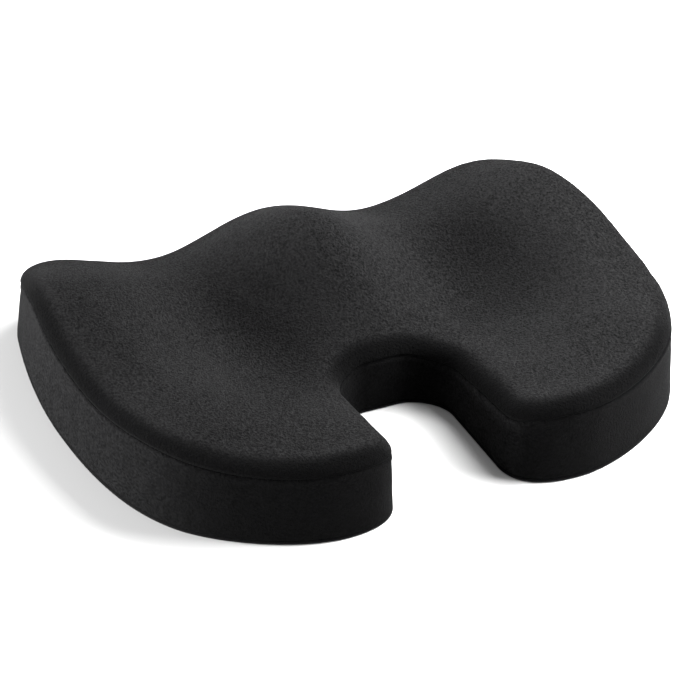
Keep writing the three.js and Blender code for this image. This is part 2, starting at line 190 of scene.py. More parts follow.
def seat_height(x, y):
    share = (y - FRONT) / DEPTH
    across = np.abs(x)
    settled = SETTLED_CORNER * np.exp(-((across - 205) / 34) ** 2 - ((y - FRONT - 8) / 38) ** 2)
    plump = PLUMP_LOBE * np.exp(-((across - 66) / 34) ** 2 - ((y - REAR + 8) / 30) ** 2)
    ridge = spline(RIDGE_RISE, share) * np.exp(-((x / RIDGE_SPREAD) ** 2))
    rims = spline(RIM_RISE, share) * smooth(across, RIM_START, RIM_END)
    return plump - settled + spline(THIGH_FLOOR, share) + ridge + rims


print("ridge", seat_height(np.array([0.0]), np.array([FRONT + 80]))[0].round(1),
      "channel", seat_height(np.array([95.0]), np.array([FRONT + 80]))[0].round(1))

# %% [markdown]
# ## Rings round the cushion
# Everything sewn round this cushion is a stack of rings: the same outline, moved in by an inset
# and set at a height. A stack gives clean quads that follow the edge, as the cloth's own threads
# do. The seat inside the last ring is a bent strip, so lines cross it from the outer edge to
# the cutout and bow towards the middle at its ends, with no triangle fan or hole to fill.


# %% A skin of rings and crossing lines
class Skin:
    """The cushion's outline at one fineness, and the rings and seat that are made from it."""

    def __init__(self, steps, across):
        self.loop, self.inward = whole_outline(steps)
        self.count, self.steps, self.across = len(self.loop), steps, across
        place = self.loop + self.inward * BAND_LEAN
        self.seam = seat_height(place[:, 0], place[:, 1]) - ROLL_DROP
        step = np.linalg.norm(np.roll(self.loop, -1, 0) - self.loop, axis=1)
        bend = np.cross(self.inward, np.roll(self.inward, -1, 0)) / step
        spread = np.ones(max(3, steps // 12)) / max(3, steps // 12)
        bend = np.convolve(np.concatenate([bend[-steps:], bend, bend[:steps]]), spread, "same")
        self.radius = 1 / np.maximum(bend[steps:-steps], 0.001)
        self.reach = np.concatenate([[0], np.cumsum(step)[:-1]])

    def ring(self, inset, height):
        """Points of one ring; inset and height are numbers or one value for each point."""
        inset = inset / (1 + (inset / (0.8 * self.radius)) ** 4) ** 0.25
        flat = self.loop + self.inward * inset[:, None]
        return np.column_stack([flat, np.broadcast_to(height, self.count)])

    def rolled(self, inset, drop):
        """A ring on the seat surface less a drop."""
        points = self.ring(inset, 0)
        points[:, 2] = seat_height(points[:, 0], points[:, 1]) - drop
        return points

    def roll(self, start, rings):
        """Rings up the rolled edge, from an angle to its top."""
        return [self.rolled(BAND_LEAN + ROLL_WIDTH * (1 - math.cos(turn)), ROLL_DROP * (1 - math.sin(turn)))
                for turn in np.linspace(start, math.pi / 2, rings)]

    def strips(self, rows):
        """Quads between each ring and the next."""
        i = np.arange(self.count)
        n = (i + 1) % self.count
        return [quad for row in range(rows - 1) for quad in np.stack(
            [i, n, n + self.count, i + self.count], 1) + row * self.count]

    def seat(self, rows):
        """Points and faces of the seat: lines from the outer edge to the cutout, and bowed ends."""
        ring, first, total = rows[-1], (len(rows) - 1) * self.count, len(rows) * self.count
        middle = self.steps - self.across // 2
        u, v = np.arange(-middle, middle + 1), np.arange(self.across + 1)
        outer, cutout = u % self.count, (2 * self.steps - u) % self.count
        ends = {0: (-middle - v) % self.count, -1: (middle + v) % self.count}
        share = (v / self.across)[:, None]
        points = ring[outer][:, None] * (1 - share) + ring[cutout][:, None] * share
        for side, end in ends.items():
            bow = ring[end] - (ring[end[0]] * (1 - share) + ring[end[-1]] * share)
            away = np.abs(u - u[side])
            points += np.clip(1 - away / (1.2 * self.across), 0, 1)[:, None, None] ** 2 * bow
        grid = np.full((len(u), len(v)), -1)
        grid[:, 0], grid[:, -1], grid[0], grid[-1] = outer, cutout, ends[0], ends[-1]
        grid += first
        grid[1:-1, 1:-1] = total + np.arange((len(u) - 2) * (len(v) - 2)).reshape(len(u) - 2, -1)
        points = points[1:-1, 1:-1].reshape(-1, 3)
        points[:, 2] = seat_height(points[:, 0], points[:, 1])
        corners = grid[:-1, :-1], grid[1:, :-1], grid[1:, 1:], grid[:-1, 1:]
        return points, list(np.stack([c.ravel() for c in corners], 1))


def make_piece(name, points, faces):
    """A smooth-shaded mesh from points in mm."""
    mesh = bpy.data.meshes.new(name)
    mesh.from_pydata((np.asarray(points) * MM).tolist(), [], [list(map(int, f)) for f in faces])
    mesh.validate()
    mesh.polygons.foreach_set("use_smooth", np.ones(len(mesh.polygons), bool))
    piece = bpy.data.objects.new(name, mesh)
    bpy.context.scene.collection.objects.link(piece)
    return piece


def mark_seam_shade_and_highlight(piece, values):
    """Stores a mask near the seam, which the velour reads to paint shade on the top's rolled edge and a
    highlight on the band's lip.
    """
    edge = piece.data.attributes.new("edge", "FLOAT", "POINT")
    edge.data.foreach_set("value", values.astype(np.float32))


def bake_modifiers(piece):
    """Applies what the modifiers do, so the mesh itself is the shape."""
    graph = bpy.context.evaluated_depsgraph_get()
    made = bpy.data.meshes.new_from_object(piece.evaluated_get(graph))
    piece.modifiers.clear()
    old, piece.data = piece.data, made
    bpy.data.meshes.remove(old)
    made.name = piece.name
    return piece


def thicken(sheet, cloth):
    """Gives a sheet the thickness of its cloth, inwards."""
    layer = sheet.modifiers.new("cloth thickness", "SOLIDIFY")
    layer.thickness, layer.offset = cloth * MM, -1
    return bake_modifiers(sheet)


def tree_of(points):
    """A kd-tree that finds the nearest of some points."""
    tree = kdtree.KDTree(len(points))
    for i, point in enumerate(points):
        tree.insert(point, i)
    tree.balance()
    return tree


FINE = ((150, 52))
cover = Skin(*FINE)
print("rings of", cover.count, "points")

# %% [markdown]
# ## Swell under the cloth
# A tight cover pulls down at its seams and swells between them. Painting that by hand gives an
# even, lifeless bulge. So a plain closed form of the cushion is remeshed, its base and seam
# lines are pinned, and Blender's Cloth blows it up with a little pressure. Only the movement
# is kept, capped and small, and the sewn panels made later take it from their nearest points.

# %% Blow up a plain form of the cushion
SWELL_CAP = 2.4
PRESSURE = 4
SWELL_FRAMES = 20
SWELL_CALM = 14


def plain_form():
    """Base, wall, rolled edge and seat as one closed mesh."""
    skin = Skin(60, 18)
    rows = [skin.ring(0, 0), skin.ring(BAND_LEAN * 0.5, skin.seam * 0.5)] + skin.roll(0, 6)
    seat, seat_faces = skin.seat(rows)
    faces = skin.strips(len(rows)) + seat_faces + [list(range(skin.count))[::-1]]
    return make_piece("plain_form", np.concatenate([*rows, seat]), faces)


def pin_near_seams(form):
    """Pins the base and the line of the top seam, and lets go over a few millimetres."""
    skin = Skin(150, 4)
    tree = tree_of(skin.ring(BAND_LEAN, skin.seam) * MM)
    group = form.vertex_groups.new(name="sewn")
    for vertex in form.data.vertices:
        gap = min(tree.find(vertex.co)[2] / MM, max(vertex.co.z / MM - 1, 0))
        group.add([vertex.index], float(1 - smooth(np.array(gap), 2, 9)), "REPLACE")
    return group.name


def swell_field():
    """A kd-tree of the form's points and how far each one moves, in mm."""
    form = plain_form()
    remesh = form.modifiers.new("even mesh", "REMESH")
    remesh.mode, remesh.voxel_size = "VOXEL", 5 * MM
    bake_modifiers(form)
    rest = np.array([v.co for v in form.data.vertices]) / MM
    cloth = form.modifiers.new("cover cloth", "CLOTH")
    cloth.settings.vertex_group_mass = pin_near_seams(form)
    cloth.settings.use_pressure = True
    cloth.settings.uniform_pressure_force = PRESSURE
    cloth.settings.tension_stiffness = cloth.settings.compression_stiffness = 40
    cloth.settings.effector_weights.gravity = 0
    cloth.point_cache.frame_end = SWELL_FRAMES
    for step in range(1, SWELL_FRAMES + 1):
        bpy.context.scene.frame_set(step)
    blown = form.evaluated_get(bpy.context.evaluated_depsgraph_get()).data
    move = np.array([v.co for v in blown.vertices]) / MM - rest
    ends = np.array([e.vertices[:] for e in form.data.edges])
    degree = 1 + np.bincount(ends.ravel(), minlength=len(move))[:, None]
    for _ in range(SWELL_CALM):
        total = move.copy()
        np.add.at(total, ends[:, 0], move[ends[:, 1]])
        np.add.at(total, ends[:, 1], move[ends[:, 0]])
        move = total / degree
    bpy.context.scene.frame_set(1)
    bpy.data.objects.remove(form)
    far = np.linalg.norm(move, axis=1)
    print("swell before the cap: middle", np.median(far).round(2), "most", far.max().round(2), "mm")
    move *= (SWELL_CAP * np.tanh(far / SWELL_CAP) / np.maximum(far, 1e-6))[:, None]
    return tree_of(rest), move


field = swell_field()


def swollen(points):
    """Points in mm, moved as the cloth near them moved."""
    if field is None:
        return points
    tree, move = field
    moved = points.copy()
    for i, point in enumerate(points):
        near = tree.find_n(point, 6)
        weight = np.array([1 / (gap + 1.5) ** 2 for _, _, gap in near])
        moved[i] += weight @ move[[k for _, k, _ in near]] / weight.sum()
    return moved


# %% [markdown]
# ## Life in the cloth
# Sewn cloth is never quite even. Long slow waves come from cutting and from how the foam fills
# the cover, and short puckers stand along a seam, where the needle gathers the cloth. Both are
# smooth noise added along the surface's own normals, so they are real shape and not only bump.


# %% Waves and puckers
def wave(points, size, seed):
    """Smooth noise from -1 to 1 at points in mm, with waves of about that size."""
    return np.array([noise.noise(Vector((x / size, y / size, z / size + seed))) for x, y, z in points])


def normals_of(points, faces):
    """Unit normals at the points of a mesh."""
    mesh = bpy.data.meshes.new("probe")
    mesh.from_pydata(points.tolist(), [], [list(map(int, f)) for f in faces])
    out = np.array([v.normal for v in mesh.vertices])
    bpy.data.meshes.remove(mesh)
    return out


def relax(points, faces, amount):
    """Moves each point along its normal by an amount in mm."""
    return points + normals_of(points, faces) * np.asarray(amount)[:, None]


# %% [markdown]
# ## The top panel
# The top is one piece of velour, sewn to the band all round. Its edge turns down over the foam's
# rolled edge and tucks into the seam. It is built from rings that start at the end of the seam
# allowance, inside the seam, come out round the turned edge and climb the roll, and then the
# seat. A solid sheet of cloth is made from it at the end, because an open surface would have no
# thickness at its hem.

# %% Build the top panel
CLOTH = 1.6
SEAM_GAP = 0.9
TURN = 1.3
TURN_ROWS = 5
ALLOWANCE = 3.2
TOP_WAVE, TOP_RIPPLE, TOP_PUCKER = 0.5, 0.22, 0.35


def turned(skin, inset, edge, upward):
    """Rings that bring a panel's edge out of the seam: its allowance, and round."""
    rows = [skin.ring(inset + ALLOWANCE, edge)]
    for a in np.linspace(0, math.pi / 2, TURN_ROWS)[:-1]:
        rows.append(skin.ring(inset + TURN * (1 - math.sin(a)),
                              edge + upward * TURN * (1 - math.cos(a))))
    return rows


def top_rows(skin, rings):
    start = math.asin((SEAM_GAP + TURN) / ROLL_DROP)
    return turned(skin, BAND_LEAN, skin.seam + SEAM_GAP, 1) + skin.roll(start, rings)


def top_panel():
    rows = top_rows(cover, 16)
    seat, seat_faces = cover.seat(rows)
    faces = cover.strips(len(rows)) + seat_faces
    points = np.concatenate([*rows, seat])
    row = np.minimum(np.arange(len(points)) // cover.count, len(rows))
    near_seam = 1 - smooth(row, 2, len(rows) - 3)
    free = smooth(row, 1, TURN_ROWS + 2)
    points = swollen(points)
    lift = TOP_WAVE * wave(points, 60, 3) + TOP_RIPPLE * wave(points, 22, 8)
    pucker = TOP_PUCKER * wave(points * (1, 1, 0.2), 7, 21) * near_seam
    points = relax(points, faces, (lift + pucker) * free)
    piece = make_piece("velour_top", points, faces)
    far_in = np.array([np.hypot(*(cover.loop - point[:2]).T).min() for point in points])
    # Painted shade: the top's base colour is darkened over its rolled edge, within about 20 mm of the
    # outline.
    mark_seam_shade_and_highlight(piece, 1 - smooth(far_in, 6, 20))
    return thicken(piece, CLOTH)


velour_top = top_panel()
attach(velour_top, "cushion")
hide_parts("top_panel")
print("top panel", len(velour_top.data.vertices), "points")

# %% [markdown]
# ## The side band
# The boxing strip runs round the sides and through the cutout. Under the seam its own seam
# allowance lifts it into a low welt, and its foot is gathered a little at each side. Over the
# zip the strip is cut short and hemmed, so its lowest ring steps up there, and the rings above
# share out the height that is left.

# %% Build the side band
BAND_FOOT, FOOT_LEAN = 3.3, 0.3
WELT, CREASE, SMALL_CREASE, PUCKER = 0.7, 0.6, 0.3, 0.3
NOTCH_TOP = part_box("zip_tape_upper")[1].z / MM + 0.3
ZIP_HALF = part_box("zip_tape_upper")[1].x / MM + 0.3
GATHER = (223, FRONT + 134)


def band_rows(skin, rings):
    """Rings from the foot's turned edge up to the seam's; the foot steps up over the zip."""
    over_zip = (np.abs(skin.loop[:, 0]) < ZIP_HALF) & (skin.loop[:, 1] < FRONT + 8)
    foot = np.where(over_zip, NOTCH_TOP, BAND_FOOT)
    rows = turned(skin, FOOT_LEAN, foot, 1)
    foot, top = foot + TURN, skin.seam - SEAM_GAP - TURN
    for t in np.linspace(0, 1, rings):
        rows.append(skin.ring(FOOT_LEAN + (BAND_LEAN - FOOT_LEAN) * t, foot + (top - foot) * t))
    return rows + turned(skin, BAND_LEAN, skin.seam - SEAM_GAP, -1)[::-1]


def band_shape(points, skin, rows):
    """Welt under the seam, creases, puckers and a gathered patch at each side of the foot."""
    seam, reach = np.tile(skin.seam, rows), np.tile(skin.reach, rows)
    below = seam - points[:, 2]
    welt = WELT * np.exp(-((below - 3.2) / 1.5) ** 2)
    crease = CREASE * wave(points * (1, 1, 0.35), 26, 5) + SMALL_CREASE * wave(points, 12, 11)
    near = np.exp(-((below / 7) ** 2)) + np.exp(-((points[:, 2] / 9) ** 2))
    pucker = PUCKER * wave(np.stack([reach, 0 * reach, 0.1 * points[:, 2]], 1), 6, 31) * near
    gap = np.hypot(np.abs(points[:, 0]) - GATHER[0], points[:, 1] - GATHER[1])
    fold = np.exp(-(gap / 19) ** 2) * np.exp(-((points[:, 2] - 4) / 11) ** 2)
    gather = fold * (0.5 + 1.0 * np.sin(reach / 2.9 + points[:, 2] / 8))
    row = np.repeat(np.arange(rows), skin.count)
    free = smooth(row, 1, TURN_ROWS + 2) * smooth(rows - 1 - row, 1, TURN_ROWS + 2)
    return (welt + crease + pucker + gather) * free


def side_band():
    rows = band_rows(cover, 24)
    points = swollen(np.concatenate(rows))
    faces = cover.strips(len(rows))
    points = relax(points, faces, band_shape(points, cover, len(rows)))
    piece = make_piece("velour_band", points, faces)
    # Painted highlight: a thin line just under the seam is marked for the velour to lighten.
    lip_highlight = np.exp(-((np.tile(cover.seam, len(rows)) - points[:, 2] - 1.6) / 1.1) ** 2)
    mark_seam_shade_and_highlight(piece, lip_highlight)
    return thicken(piece, CLOTH)


velour_band = side_band()
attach(velour_band, "cushion")
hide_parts("side_band")
print("side band", len(velour_band.data.vertices), "points")

# %% [markdown]
# ## Seam thread
# A lockstitched seam shows as a row of short stitches sunk between the two panels. One long
# tube whose radius swells and dips once a stitch reads as that row, at a small cost. It fills
# the gap between the panels, so that hardly anything under the cover shows through.

# %% Sew the seams
STITCH = 3.0
THREAD_SIDES = 8
TOP_THREAD, FOOT_THREAD = 0.96, 0.69
FOOT_SEAM = 2.65


def seam_run(name, inset, height, thick):
    skin = Skin(320, 4)
    line = skin.ring(inset, height(skin))
    beat = np.abs(np.sin(math.pi * skin.reach / STITCH))
    radius = thick * (0.92 + 0.08 * beat)
    turns = np.arange(THREAD_SIDES) * 2 * math.pi / THREAD_SIDES
    rows = [line + np.column_stack([skin.inward * (math.cos(a) * radius)[:, None], math.sin(a) * radius])
            for a in turns]
    faces = skin.strips(THREAD_SIDES)
    i = np.arange(skin.count)
    n, last = (i + 1) % skin.count, (THREAD_SIDES - 1) * skin.count
    faces += list(np.stack([i + last, n + last, n, i], 1))
    return make_piece(name, np.concatenate(rows), faces)


for name, node, inset, height, thick in (
        ("top_seam_stitches", "top_seam_thread", BAND_LEAN + 1.7, lambda skin: skin.seam, TOP_THREAD),
        ("bottom_seam_stitches", "bottom_seam_thread", 1.2, lambda skin: FOOT_SEAM, FOOT_THREAD)):
    stitches = seam_run(name, inset, height, thick)
    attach(stitches, "cushion")
    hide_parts(node)
    print(name, len(stitches.data.vertices), "points")

# %% [markdown]
# ## The grip base
# The underside is a flat woven cloth with rubber dots printed on it so that it doesn't slide.
# Dots drawn as bump would vanish from the side, so each is a low dome, and all of them are one
# piece. The cloth lies a dot's height above the floor.

# %% Build the base cloth and its dots
DOT_HEIGHT, DOT_RADIUS, DOT_PITCH = 0.6, 1.7, 9.0
BASE_TOP = 2.0


def flat_cloth(name, skin, inset, low, high, soften):
    """A flat sheet with the cushion's outline and a softened edge."""
    rows = [skin.ring(inset + soften, low), skin.ring(inset + soften * 0.3, low + soften * 0.3),
            skin.ring(inset, (low + high) / 2), skin.ring(inset + soften * 0.3, high - soften * 0.3),
            skin.ring(inset + soften, high)]
    floor = list(range(skin.count))[::-1]
    lid = list(range(4 * skin.count, 5 * skin.count))
    return make_piece(name, np.concatenate(rows), skin.strips(5) + [floor, lid])


def inside_plan(x, y, margin):
    """Whether a point is within the outline, and clear of it by a margin."""
    a, b = loop, np.roll(loop, -1, 0)
    crosses = (a[:, 1] > y) != (b[:, 1] > y)
    rise = np.where(b[:, 1] == a[:, 1], 1, b[:, 1] - a[:, 1])
    meet = (b[:, 0] - a[:, 0]) * (y - a[:, 1]) / rise + a[:, 0]
    return (crosses & (x < meet)).sum() % 2 == 1 and np.hypot(*(loop - (x, y)).T).min() > margin


def grip_dots(sides=8):
    """Low domes in staggered rows over the base, bulging down to the floor."""
    turns = np.arange(sides) * 2 * math.pi / sides
    circle = np.stack([np.cos(turns), np.sin(turns)], 1) * DOT_RADIUS
    points, faces = [], []
    for row, y in enumerate(np.arange(FRONT + 8, REAR - 7, DOT_PITCH * 0.866)):
        for x in np.arange(-SIDE + 8 + (row % 2) * DOT_PITCH / 2, SIDE - 7, DOT_PITCH):
            if not inside_plan(x, y, DOT_RADIUS + 4):
                continue
            first = len(points) * (3 * sides + 1)
            rings = [np.column_stack([circle * share + (x, y), np.full(sides, z)])
                     for share, z in ((1, DOT_HEIGHT - 0.05), (0.86, 0.22), (0.5, 0.03))]
            points.append(np.concatenate([*rings, [(x, y, 0)]]))
            for i in range(sides):
                n = (i + 1) % sides
                for ring in (0, sides):
                    faces.append([first + ring + n, first + ring + i,
                                  first + ring + sides + i, first + ring + sides + n])
                faces.append([first + 2 * sides + n, first + 2 * sides + i, first + 3 * sides])
            faces.append([first + i for i in range(sides)])
    return make_piece("grip_dots", np.concatenate(points), faces)


grip_base = flat_cloth("grip_base", cover, 0.2, DOT_HEIGHT, BASE_TOP, 0.6)
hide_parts("bottom_panel")
dots = grip_dots()
for piece in (grip_base, dots):
    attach(piece, "cushion")
print("dots", len(dots.data.polygons) // 25)

# %% [markdown]
# ## Foam and liner
# Nobody sees them until the cover is zipped off, but they carry the shape. They are the same
# stack of rings at deeper insets, with the foam closed underneath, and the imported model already
# says where their undersides are.

# %% Build the foam and the liner
LINER_INSET, LINER_CLOTH, FOAM_INSET = 2.5, 0.8, 3.6
FOAM_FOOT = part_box("foam_core")[0].z / MM
ZIP_RELIEF = 4.4


def buried(name, inset, foot, closed):
    """A layer under the cover, stepped back behind the zip along the front."""
    at_front = cover.loop[:, 1] < FRONT + 3
    relief = ZIP_RELIEF * (1 - smooth(np.abs(cover.loop[:, 0]), ZIP_HALF + 3, FRONT_FLAT)) * at_front
    rows = [cover.ring(inset + 1.0 + relief, foot), cover.ring(inset + relief, foot + 1.0),
            cover.ring(inset + relief, NOTCH_TOP + 2)] + cover.roll(0, 8)
    seat, seat_faces = cover.seat(rows)
    points = np.concatenate([*rows, seat])
    faces = cover.strips(len(rows)) + seat_faces
    deep = np.where(np.arange(len(points)) < 3 * cover.count, 0, inset)
    points = relax(swollen(points), faces, -deep)
    floor = [list(range(cover.count))[::-1]] if closed else []
    return make_piece(name, points, faces + floor)


foam = buried("foam_pad", FOAM_INSET, FOAM_FOOT, True)
liner_over = thicken(buried("liner_over", LINER_INSET, FOAM_FOOT, False), LINER_CLOTH)
liner_low, liner_high = (corner.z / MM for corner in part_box("liner_base"))
liner_under = flat_cloth("liner_under", cover, LINER_INSET, liner_low, liner_high, 0.3)
for piece, node, slot in ((foam, "foam_core", "foam"), (liner_over, "liner_top", "liner_knit"),
                          (liner_under, "liner_base", "liner_knit")):
    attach(piece, "cushion")
    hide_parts(node)
print("foam", [round(v * 1000, 1) for v in foam.dimensions])

# %% [markdown]
# ## Zip tapes and coils
# A nylon coil zip is two woven tapes, each with a coil of monofilament sewn along its edge. Seen
# close up the coil is what says zip, so each one is a real helix. The tapes are thin ribbons
# with a soft edge. A guard flap of the same tape cloth hangs behind the chain, as on any cover
# whose zip would otherwise rub the liner.

# %% Build the tapes and coils
COIL_PITCH, WIRE = 1.25, 0.26


def swept(name, sections):
    """A tube with closed ends through sections, each a ring of the same number of points."""
    n = len(sections[0])
    faces = []
    for s in range(len(sections) - 1):
        for i in range(n):
            j = (i + 1) % n
            faces.append([s * n + i, s * n + j, (s + 1) * n + j, (s + 1) * n + i])
    faces.append(list(range(n))[::-1])
    faces.append([(len(sections) - 1) * n + i for i in range(n)])
    return make_piece(name, np.concatenate(sections), faces)


def zip_tape(node, name):
    low, high = (np.array(corner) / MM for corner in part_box(node))
    middle, half = (low + high) / 2, (high - low) / 2
    turns = (np.arange(12) + 0.5) / 12 * 2 * math.pi
    shape = np.stack([np.sign(np.cos(turns)) * np.abs(np.cos(turns)) ** 0.35 * half[1],
                      np.sign(np.sin(turns)) * np.abs(np.sin(turns)) ** 0.35 * half[2]], 1)
    stations = np.linspace(low[0], high[0], 121)
    return swept(name, [np.column_stack([
        np.full(12, x), middle[1] + shape[:, 0] + 0.06 * math.sin(x / 3.1), middle[2] + shape[:, 1]])
        for x in stations])


def zip_coil(node, name, hand):
    low, high = (np.array(corner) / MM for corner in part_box(node))
    middle = (low + high) / 2
    steps, sides = ((9, 5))
    turns = int((high[0] - low[0] - 2 * WIRE) / COIL_PITCH)
    angles = np.arange(turns * steps + 1) * 2 * math.pi / steps
    ry, rz = (high[1] - low[1]) / 2 - WIRE, (high[2] - low[2]) / 2 - WIRE
    x = low[0] + WIRE + angles / (2 * math.pi) * COIL_PITCH
    path = np.stack([x, middle[1] + ry * np.cos(angles), middle[2] + hand * rz * np.sin(angles)], 1)
    along = np.gradient(path, axis=0)
    along /= np.linalg.norm(along, axis=1)[:, None]
    out = np.stack([0 * x, np.cos(angles), hand * np.sin(angles)], 1)
    out -= along * (out * along).sum(1)[:, None]
    out /= np.linalg.norm(out, axis=1)[:, None]
    side = np.cross(along, out)
    round_wire = [(math.cos(a), math.sin(a)) for a in np.arange(sides) * 2 * math.pi / sides]
    sections = [np.array([p + WIRE * (c * o + s * q) for c, s in round_wire])
                for p, o, q in zip(path, out, side)]
    return swept(name, sections)


def zip_guard():
    """A flap of tape cloth that hangs behind the chain and keeps the liner clear of it."""
    front = np.array([(1.0, 12.7), (2.7, 12.5), (3.5, 11.2), (3.6, 8.0), (3.6, 4.3)])
    back = (front + (0.5, 0.2))[::-1]
    profile = np.concatenate([front, back]) + (FRONT, 0)
    return swept("zip_guard", [np.column_stack([np.full(len(profile), x), profile])
                               for x in np.linspace(ZIP_HALF + 9, -ZIP_HALF - 9, 90)])


guard = zip_guard()
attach(guard, "cushion")
for node, name in (("zip_tape_lower", "woven_tape_lower"), ("zip_tape_upper", "woven_tape_upper")):
    tape = zip_tape(node, name)
    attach(tape, "cushion")
    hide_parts(node)
for node, name, hand in (("zip_coil_lower", "coil_row_lower", 1),
                         ("zip_coil_upper", "coil_row_upper", -1)):
    coil = zip_coil(node, name, hand)
    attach(coil, "cushion")
    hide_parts(node)
    print(name, len(coil.data.polygons), "faces")

# %% [markdown]
# ## Cast zip hardware
# The slider, pull and stops are small die castings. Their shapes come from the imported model,
# and what it lacks is the soft edge that every casting has. A bevel on each sharp edge gives
# that, and the bevel is baked so that the highlight sits on real shape.


# %% Soften the castings
def cast_from(node, name, body, bevel):
    piece = bpy.data.objects.new(name, frame["nodes"][node].data.copy())
    piece.data.name = name
    bpy.context.scene.collection.objects.link(piece)
    weld = piece.modifiers.new("weld", "WELD")
    weld.merge_threshold = 0.01 * MM
    flat = piece.modifiers.new("flat faces", "DECIMATE")
    flat.decimate_type, flat.angle_limit = "DISSOLVE", math.radians(2)
    edge = piece.modifiers.new("cast edge", "BEVEL")
    edge.width, edge.segments = bevel * MM, 2
    edge.limit_method, edge.angle_limit = "ANGLE", math.radians(30)
    bake_modifiers(piece)
    piece.data.materials.clear()
    piece.data.polygons.foreach_set("use_smooth", np.ones(len(piece.data.polygons), bool))
    piece.data.set_sharp_from_angle(angle=math.radians(40))
    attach(piece, body)
    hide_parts(node)
    return piece


castings = [
    cast_from("zip_slider", "slider_casting", "slider", 0.18),
    cast_from("zip_pull", "pull_casting", "pull", 0.2),
    cast_from("zip_stop_closed", "stop_closed_end", "cushion", 0.3),
    cast_from("zip_stop_open", "stop_open_end", "cushion", 0.3),
]
print("castings", [len(c.data.polygons) for c in castings])

# %% [markdown]
# ## A way to write finishes
# A finish is sums and products of patterns. Wired by hand that is a page of nodes, so a small
# class holds one socket and lets Python's operators add Math nodes. One method adds any other
# node. Plain numbers are worked out in Python, and whatever is the same all over is set on the
# shader itself.


# %% Sockets as numbers
class Wire:
    """An output socket that takes part in sums."""

    def __init__(self, finish, socket):
        self.finish, self.socket = finish, socket

    def _sum(self, operation, first, second):
        return self.finish.node("ShaderNodeMath", {"operation": operation}, {0: first, 1: second})

    def __add__(self, other):
        return self._sum("ADD", self, other)

    def __sub__(self, other):
        return self._sum("SUBTRACT", self, other)

    def __rsub__(self, other):
        return self._sum("SUBTRACT", other, self)

    def __mul__(self, other):
        return self._sum("MULTIPLY", self, other)

    __radd__ = __add__
    __rmul__ = __mul__


class Finish:
    """A material with one shader, whose patterns are added a node at a time."""

    def __init__(self, name, **shader):
        self.material = bpy.data.materials.new(name)
        self.material.use_nodes = True
        self.tree = self.material.node_tree
        self.shader = self.tree.nodes["Principled BSDF"]
        for socket, value in shader.items():
            self.shader.inputs[socket.replace("_", " ")].default_value = value

    def node(self, kind, settings=None, inputs=None, out=0):
        """Adds a node: its settings first, then values or wires for its sockets."""
        made = self.tree.nodes.new(kind)
        for key, value in (settings or {}).items():
            setattr(made, key, value)
        for key, value in (inputs or {}).items():
            self.join(made.inputs[key], value)
        return Wire(self, made.outputs[out])

    def join(self, socket, value):
        if isinstance(value, Wire):
            self.tree.links.new(value.socket, socket)
        else:
            socket.default_value = value

    def feed(self, **sockets):
        """Wires for the shader's own sockets that change over the surface."""
        for name, value in sockets.items():
            self.join(self.shader.inputs[name.replace("_", " ")], value)
        return self

    def place(self, stretch=(1, 1, 1), turn=(0, 0, 0)):
        """Object coordinates in mm, stretched and turned."""
        where = self.node("ShaderNodeTexCoord", out="Object")
        return self.node("ShaderNodeMapping", {}, {
            "Vector": where, "Scale": tuple(1 / MM / s for s in stretch), "Rotation": turn})

    def noise(self, size, where, detail=2.0, roughness=0.5):
        """Cloudy noise from 0 to 1 with features of a size in mm."""
        return self.node("ShaderNodeTexNoise", {}, {
            "Vector": where, "Scale": 1 / size, "Detail": detail, "Roughness": roughness})

    def shade(self, share, dark, light):
        """A colour between two, by a share."""
        return self.node("ShaderNodeMix", {"data_type": "RGBA"}, {
            "Factor": share, 6: (*dark, 1), 7: (*light, 1)}, out=2)

    def span(self, value, low, high, to_low=0.0, to_high=1.0):
        """A value moved from one range to another, held at its ends."""
        return self.node("ShaderNodeMapRange", {}, {
            "Value": value, "From Min": low, "From Max": high, "To Min": to_low, "To Max": to_high})

    def bump(self, height, depth):
        """Bump from a height of 0 to 1, a depth in mm deep."""
        return self.node("ShaderNodeBump", {}, {
            "Height": height, "Distance": depth * MM, "Strength": 1.0})


def dress(finish, *pieces):
    for piece in pieces:
        piece.data.materials.clear()
        piece.data.materials.append(finish.material)


# %% [markdown]
# ## Velour
# Brushed velour is a bed of short fibres that swallows most of the light, with hardly any shine
# or sheen left in black. The fibres clump in grains about a millimetre and a half across, drawn
# out a little along the cushion, and hands have brushed wide patches lighter and darker. Shade
# and light are also painted into the base colour by which way a face turns in the world: faces
# turned one way are painted lighter and faces turned the other way darker. The top's rolled edge
# next to the seam gets painted shade, deepest on the faces painted darker, and the band gets a
# thin painted highlight just under the seam. All of that scales the base colour.

# %% Mix the velour
VELOUR_SHEEN = 0.006


